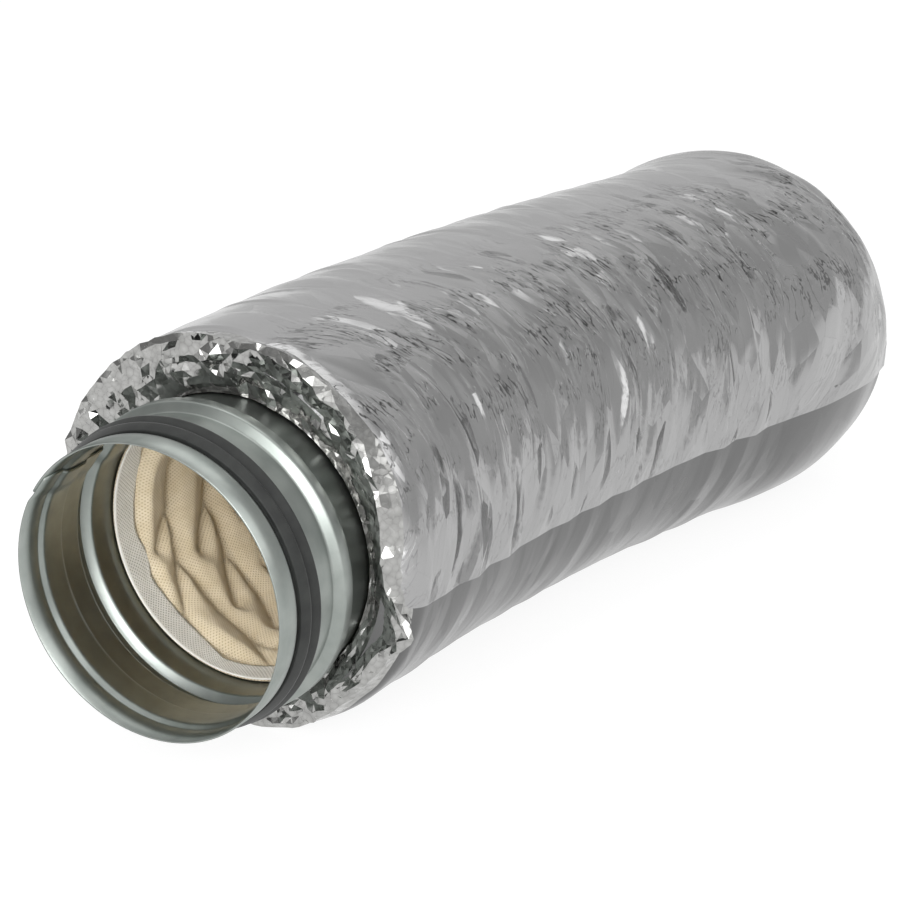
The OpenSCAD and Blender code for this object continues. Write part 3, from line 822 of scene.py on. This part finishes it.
# The front collar's ridge: degrees round and radius in mm. The one at 196 is a loose ear of foil.
RIDGE = [
    (0, 85), (40, 87), (74, 89), (92, 86.5), (111, 90.5), (129, 85), (150, 78), (176, 71.5), (187, 75),
    (196, 89.5), (206, 80), (225, 77.5), (249, 80.5), (280, 79), (310, 81), (340, 83), (360, 85),
]


def crushed(x, y, seed):
    """Height in mm of crushed foil at x and y, in mm."""
    return sum(leaf_height(x, y, (*facet[:3], facet[3] + seed)) for facet in CRUSH)


def foil_point(u, v, end):
    """A point of a collar, from its edge on the spigot out to its edge on the jacket."""
    loose = noise.noise_vector(Vector((71.3 * u, 397.7 * v, 5.0 + end))) * ease(6 * u * (1 - u))
    t = 2 * pi * (v + 0.9 * loose.x / FOIL_ROUND)
    ragged = noise.noise(Vector((5 * cos(t), 5 * sin(t), 8.0 * end)))
    far = 0.0 if end < 0 else BODY_LEN
    jacket_r = plain_r(far, t)
    start_r = SPIGOT_R + FOIL_GAP + 0.4 * ragged * MM
    rim = jacket_r + FOIL_OVER
    if end < 0:
        rim = max(rim, along_table(RIDGE, v * 360) * MM)
    if u < FOIL_TUCK:
        r = start_r
        e = END_SUNK + (u / FOIL_TUCK - 1) * TUCK_W * (1 + ragged)
    elif u < FOIL_FACE:
        w = (u - FOIL_TUCK) / (FOIL_FACE - FOIL_TUCK)
        r = start_r + (rim - start_r) * w
        e = (END_SUNK + FOIL_FRONT) * (1 - w) ** 1.5 - FOIL_FRONT
    else:
        w = (u - FOIL_FACE) / (1 - FOIL_FACE)
        lap = LAP_W + LAP_W_AT_RIDGE * ease((rim - jacket_r) / RIDGE_FULL) + 1.5 * ragged * MM
        e = (lap + FOIL_FRONT) * w - FOIL_FRONT
        r = rim + (plain_r(abs(far - lap), t) + FOIL_OVER - rim) * w
    # The facets die out at both edges, and stand forward of the jacket's end where they cross it.
    room = min(1.0, (rim - start_r) / CRUMPLE_FULL_W) * CRUMPLE[end]
    lift = (crushed(r * cos(t) / MM, r * sin(t) / MM, 3.0 * end) + 0.5 * loose.z) * MM * room
    lift *= ease(min(1.0, u / 0.1, (1 - u) / 0.1))
    r += MM * loose.y
    out = r + (0.3 * lift if u < FOIL_FACE else 0.25 * abs(lift))
    crosses = u < FOIL_FACE and out > jacket_r - 3 * MM
    front = e - 0.8 * (abs(lift) if crosses else lift)
    p = on_duct(inside(front, end), out, t)
    p.z = max(p.z, 0.0)
    return p


# Bright aluminium foil: a mirror finish that the crushing breaks into small facets. The finest,
# about 3 mm wide, are bump.
FINE_FACET = 340
bright, tree, shader = start_material("bright_aluminium_foil", {"Metallic": 1.0})
coords = add(tree, "ShaderNodeTexCoord", {})
cell = add(tree, "ShaderNodeVectorMath", {
    0: coords.outputs["Object"], 1: (FINE_FACET, FINE_FACET, FINE_FACET)}, operation="MULTIPLY")
leaf, height = tilted_leaves(tree, cell.outputs[0])
tone = add(tree, "ShaderNodeValToRGB", {"Fac": leaf.outputs["Distance"]})
set_ramp(tone.color_ramp, [(0.0, "#b4b4b2"), (1.0, "#9a9a98")])
gloss = add(tree, "ShaderNodeMapRange", {
    "Value": leaf.outputs["Distance"], "To Min": 0.1, "To Max": 0.2})
dent = add(tree, "ShaderNodeBump", {"Height": height, "Strength": 1.0, "Distance": 0.5 * MM})
tree.links.new(tone.outputs[0], shader.inputs["Base Color"])
tree.links.new(gloss.outputs[0], shader.inputs["Roughness"])
tree.links.new(dent.outputs[0], shader.inputs["Normal"])

for end, side in ENDS:
    bm = wrapped_grid(FOIL_ROWS, FOIL_ROUND, lambda u, v: foil_point(u, v, end))
    face_outwards(bm, lambda p: on_duct(inside(80 * MM, end), 0, 0))
    bmesh.ops.triangulate(bm, faces=bm.faces)
    foil = make_piece(side + "_crushed_foil", bm, bright, side + "_end_foil")
    foil.data.shade_flat()


# Stage: a pale floor that keeps the shadow and shows white to the camera and in the metal,
# a grey studio all round, three soft lamps, and the photo's camera.
FLOOR_HALF = 60.0
FLOOR_GLOW = 1.12
FLOOR_GLOW_SHARE = 0.8
floor_mesh = bmesh.new()
bmesh.ops.create_grid(floor_mesh, x_segments=1, y_segments=1, size=FLOOR_HALF)
mesh = bpy.data.meshes.new("floor")
floor_mesh.to_mesh(mesh)
floor_mesh.free()
floor = bpy.data.objects.new("floor", mesh)
bpy.context.scene.collection.objects.link(floor)
paper, tree, shader = start_material("pale_floor", {
    "Base Color": linear("#f4f4f4"), "Roughness": 0.9, "Specular IOR Level": 0.1})
path = add(tree, "ShaderNodeLightPath", {})
direct = add(tree, "ShaderNodeMath", {
    0: path.outputs["Is Camera Ray"], 1: path.outputs["Is Glossy Ray"]}, operation="MAXIMUM")
seen = add(tree, "ShaderNodeMath", {
    0: direct.outputs[0], 1: path.outputs["Is Transmission Ray"]}, operation="MAXIMUM")
share = add(tree, "ShaderNodeMath", {0: seen.outputs[0], 1: FLOOR_GLOW_SHARE}, operation="MULTIPLY")
glow = add(tree, "ShaderNodeEmission", {"Color": (1, 1, 1, 1), "Strength": FLOOR_GLOW})
both = add(tree, "ShaderNodeMixShader", {
    0: share.outputs[0], 1: shader.outputs[0], 2: glow.outputs[0]})
tree.links.new(both.outputs[0], tree.nodes["Material Output"].inputs["Surface"])
mesh.materials.append(paper)

# Panels and flags in the studio: direction, cosines at which each is full and gone, and its light.
PANELS = [
    ((0.72, 0.5, 0.4), 0.97, 0.75, 1.2),
    ((0.6, -0.38, 0.7), 0.98, 0.86, 0.75),
    ((-0.75, 0.5, 0.2), 0.95, 0.75, 0.5),
    ((-0.75, -0.65, 0.05), 0.95, 0.65, 1.7),
]
world = bpy.data.worlds.new("studio")
bpy.context.scene.world = world
world.use_nodes = True
tree = world.node_tree
direction = add(tree, "ShaderNodeTexCoord", {})
parts = add(tree, "ShaderNodeSeparateXYZ", {"Vector": direction.outputs["Generated"]})
level = add(tree, "ShaderNodeMapRange", {
    "Value": parts.outputs["Z"], "To Min": 0.6, "To Max": 0.72}).outputs[0]
for toward, near, far, light in PANELS:
    facing = add(tree, "ShaderNodeVectorMath", {
        0: direction.outputs["Generated"], 1: Vector(toward).normalized()}, operation="DOT_PRODUCT")
    shade = add(tree, "ShaderNodeMapRange", {
        "Value": facing.outputs["Value"], "From Min": far, "From Max": near,
        "To Min": 1.0, "To Max": light}, interpolation_type="SMOOTHSTEP")
    level = add(tree, "ShaderNodeMath", {0: level, 1: shade.outputs[0]}, operation="MULTIPLY").outputs[0]
back = tree.nodes["Background"]
back.inputs["Color"].default_value = (1, 1, 1, 1)
tree.links.new(level, back.inputs["Strength"])

# Lamps: name, place and size in metres, and power in watts. They look at the middle of the body.
LAMPS = [
    ("overhead", (0.0, 0.1, 2.1), 1.8, 10.0),
    ("key", (-0.7, -1.6, 1.3), 1.4, 7.0),
    ("front", (-1.5, -0.55, 0.55), 1.0, 17.0),
]
LAMPS_AIM = Vector((0, 0, 0.08))
for name, place, size, power in LAMPS:
    lamp = bpy.data.lights.new(name, "AREA")
    lamp.size = size
    lamp.energy = power
    obj = bpy.data.objects.new(name, lamp)
    bpy.context.scene.collection.objects.link(obj)
    obj.location = place
    obj.rotation_euler = (LAMPS_AIM - Vector(place)).to_track_quat("-Z", "Y").to_euler()

CAMERA_AT = (-0.876955, -0.704772, 0.486055)
CAMERA_HEADING = radians(40.15)
CAMERA_TILT = radians(20.69)
level_reach = cos(CAMERA_TILT)
ahead = Vector((
    level_reach * cos(CAMERA_HEADING), level_reach * sin(CAMERA_HEADING), -sin(CAMERA_TILT)))
right = Vector((sin(CAMERA_HEADING), -cos(CAMERA_HEADING), 0))
lens = bpy.data.cameras.new("camera")
lens.sensor_width = 36
lens.lens = 104
lens.clip_end = 200
camera = bpy.data.objects.new("camera", lens)
bpy.context.scene.collection.objects.link(camera)
turn = Matrix((right, right.cross(ahead), -ahead)).transposed().to_4x4()
camera.matrix_world = Matrix.Translation(CAMERA_AT) @ turn
bpy.context.scene.camera = camera
bpy.context.scene.view_settings.view_transform = "Standard"
